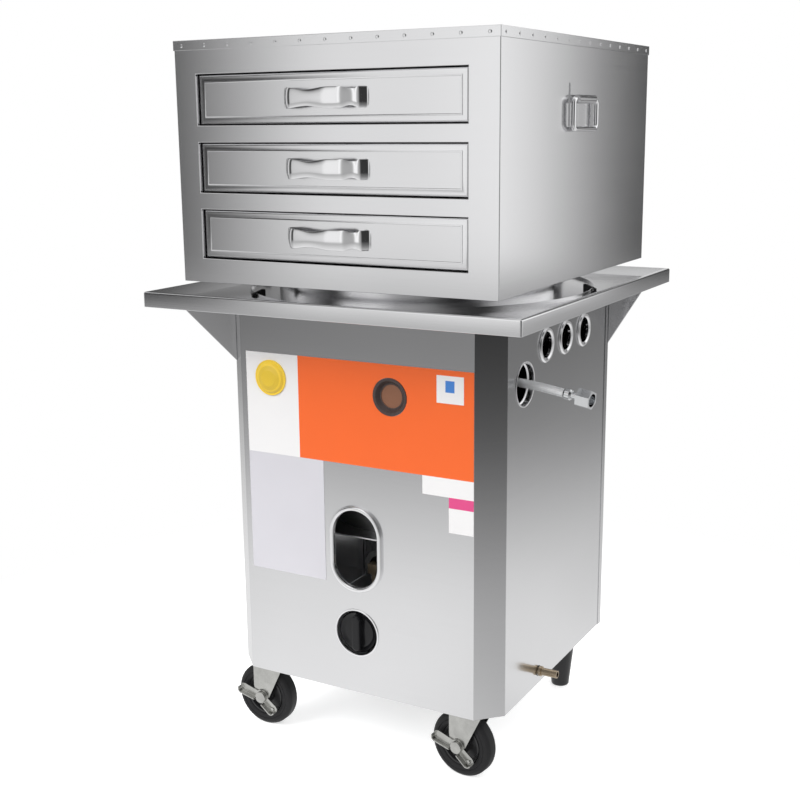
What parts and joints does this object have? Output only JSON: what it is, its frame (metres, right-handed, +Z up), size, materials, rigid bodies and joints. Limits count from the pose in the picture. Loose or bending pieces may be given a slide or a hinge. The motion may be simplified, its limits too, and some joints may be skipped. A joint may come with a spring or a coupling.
{
  "type": "rice noodle roll steamer",
  "caption": "Gas-fired stainless steamer stand with a water pan and a lift-off steam box of shallow drawers, on swivel casters and rear feet.",
  "frame": {"origin": "on the floor, below the centre of the table", "axes": "+Z up, -Y towards the user at the drawers, +X to the side with the vents and the water hose"},
  "size_m": [0.6557, 0.62, 1.092],
  "materials": {
    "stainless": "polished",
    "galvanised": "matt",
    "chrome": "polished",
    "zinc": "satin",
    "rubber_black": "matt",
    "hub_black": "satin",
    "feet_black": "satin",
    "knob_black": "gloss",
    "port_black": "satin",
    "refractory": "matt",
    "cast_iron": "matt",
    "brass": "satin",
    "hose_braid": "braided steel over rubber",
    "orange_film": "gloss",
    "white_film": "gloss",
    "grey_film": "satin",
    "yellow_plastic": "gloss"
  },
  "bodies": {
    "stand": {"bare_card": "grey_film", "base_plate": "galvanised", "burner_bracket": "galvanised", "burner_head": "cast_iron", "cabinet_back": "stainless", "cabinet_front": "stainless", "cabinet_side_left": "stainless", "cabinet_side_right": "stainless", "caster_plates": "zinc", "caster_screws": "zinc", "frame_posts": "galvanised", "front_rings": "chrome", "furnace_lining": "refractory", "furnace_shelf": "stainless", "furnace_shell": "stainless", "gas_inlet_pipe": "brass", "gas_valve": "brass", "hose_coupling": "brass", "mixer_tube": "cast_iron", "orange_panel": "orange_film", "pan_clips": "rubber_black", "rear_feet": "feet_black", "small_tags": "white_film", "table_gussets": "stainless", "table_top": "stainless", "tap_bracket": "galvanised", "vent_rings": "chrome", "view_port": "port_black", "water_feed_valve": "brass", "water_hose": "hose_braid", "water_pan": "stainless", "white_panel": "white_film", "yellow_disc": "yellow_plastic"},
    "steam_box": {"box_walls": "stainless", "box_front": "stainless", "box_floor": "stainless", "box_lid": "stainless", "lid_rivets": "stainless", "drawer_runners": "stainless", "handle_plates": "stainless"},
    "gas_knob": {"gas_knob": "knob_black"},
    "drawer_1": {"drawer_front_1": "stainless", "drawer_tray_1": "stainless", "drawer_pull_1": "chrome"},
    "drawer_2": {"drawer_front_2": "stainless", "drawer_tray_2": "stainless", "drawer_pull_2": "chrome"},
    "drawer_3": {"drawer_front_3": "stainless", "drawer_tray_3": "stainless", "drawer_pull_3": "chrome"},
    "side_handle_left": {"side_handle_left": "stainless"},
    "caster_left": {"caster_fork_left": "zinc"},
    "wheel_left": {"caster_tyre_left": "rubber_black", "caster_hub_left": "hub_black"},
    "brake_left": {"caster_brake_left": "zinc"},
    "side_handle_right": {"side_handle_right": "stainless"},
    "caster_right": {"caster_fork_right": "zinc"},
    "wheel_right": {"caster_tyre_right": "rubber_black", "caster_hub_right": "hub_black"},
    "brake_right": {"caster_brake_right": "zinc"}
  },
  "joints": [
    {"name": "steam_box_lift", "type": "slide", "parent": "stand", "child": "steam_box", "axis": [0, 0, 1], "range_m": [0, 0.3]},
    {"name": "drawer_1_slide", "type": "slide", "parent": "steam_box", "child": "drawer_1", "axis": [0, -1, 0], "range_m": [0, 0.38]},
    {"name": "drawer_2_slide", "type": "slide", "parent": "steam_box", "child": "drawer_2", "axis": [0, -1, 0], "range_m": [0, 0.38]},
    {"name": "drawer_3_slide", "type": "slide", "parent": "steam_box", "child": "drawer_3", "axis": [0, -1, 0], "range_m": [0, 0.38]},
    {"name": "side_handle_left_swing", "type": "hinge", "parent": "steam_box", "child": "side_handle_left", "pos_m": [-0.257, -0.008, 1.005], "axis": [0, 1, 0], "range_deg": [0, 110]},
    {"name": "side_handle_right_swing", "type": "hinge", "parent": "steam_box", "child": "side_handle_right", "pos_m": [0.273, -0.008, 1.005], "axis": [0, -1, 0], "range_deg": [0, 110]},
    {"name": "gas_knob_turn", "type": "hinge", "parent": "stand", "child": "gas_knob", "pos_m": [0.001, -0.219, 0.209], "axis": [0, -1, 0], "range_deg": [0, 90]},
    {"name": "caster_left_swivel", "type": "hinge", "parent": "stand", "child": "caster_left", "pos_m": [-0.181, -0.186, 0.11], "axis": [0, 0, 1], "continuous": true},
    {"name": "wheel_left_spin", "type": "hinge", "parent": "caster_left", "child": "wheel_left", "pos_m": [-0.194, -0.186, 0.052], "axis": [0, -1, 0], "continuous": true},
    {"name": "brake_left_press", "type": "hinge", "parent": "caster_left", "child": "brake_left", "pos_m": [-0.194, -0.186, 0.052], "axis": [0, -1, 0], "range_deg": [0, 25]},
    {"name": "caster_right_swivel", "type": "hinge", "parent": "stand", "child": "caster_right", "pos_m": [0.181, -0.186, 0.11], "axis": [0, 0, 1], "continuous": true},
    {"name": "wheel_right_spin", "type": "hinge", "parent": "caster_right", "child": "wheel_right", "pos_m": [0.1681, -0.18442, 0.052], "axis": [-0.1219, -0.9925, 0], "continuous": true},
    {"name": "brake_right_press", "type": "hinge", "parent": "caster_right", "child": "brake_right", "pos_m": [0.1681, -0.18442, 0.052], "axis": [-0.1219, -0.9925, 0], "range_deg": [0, 25]}
  ]
}
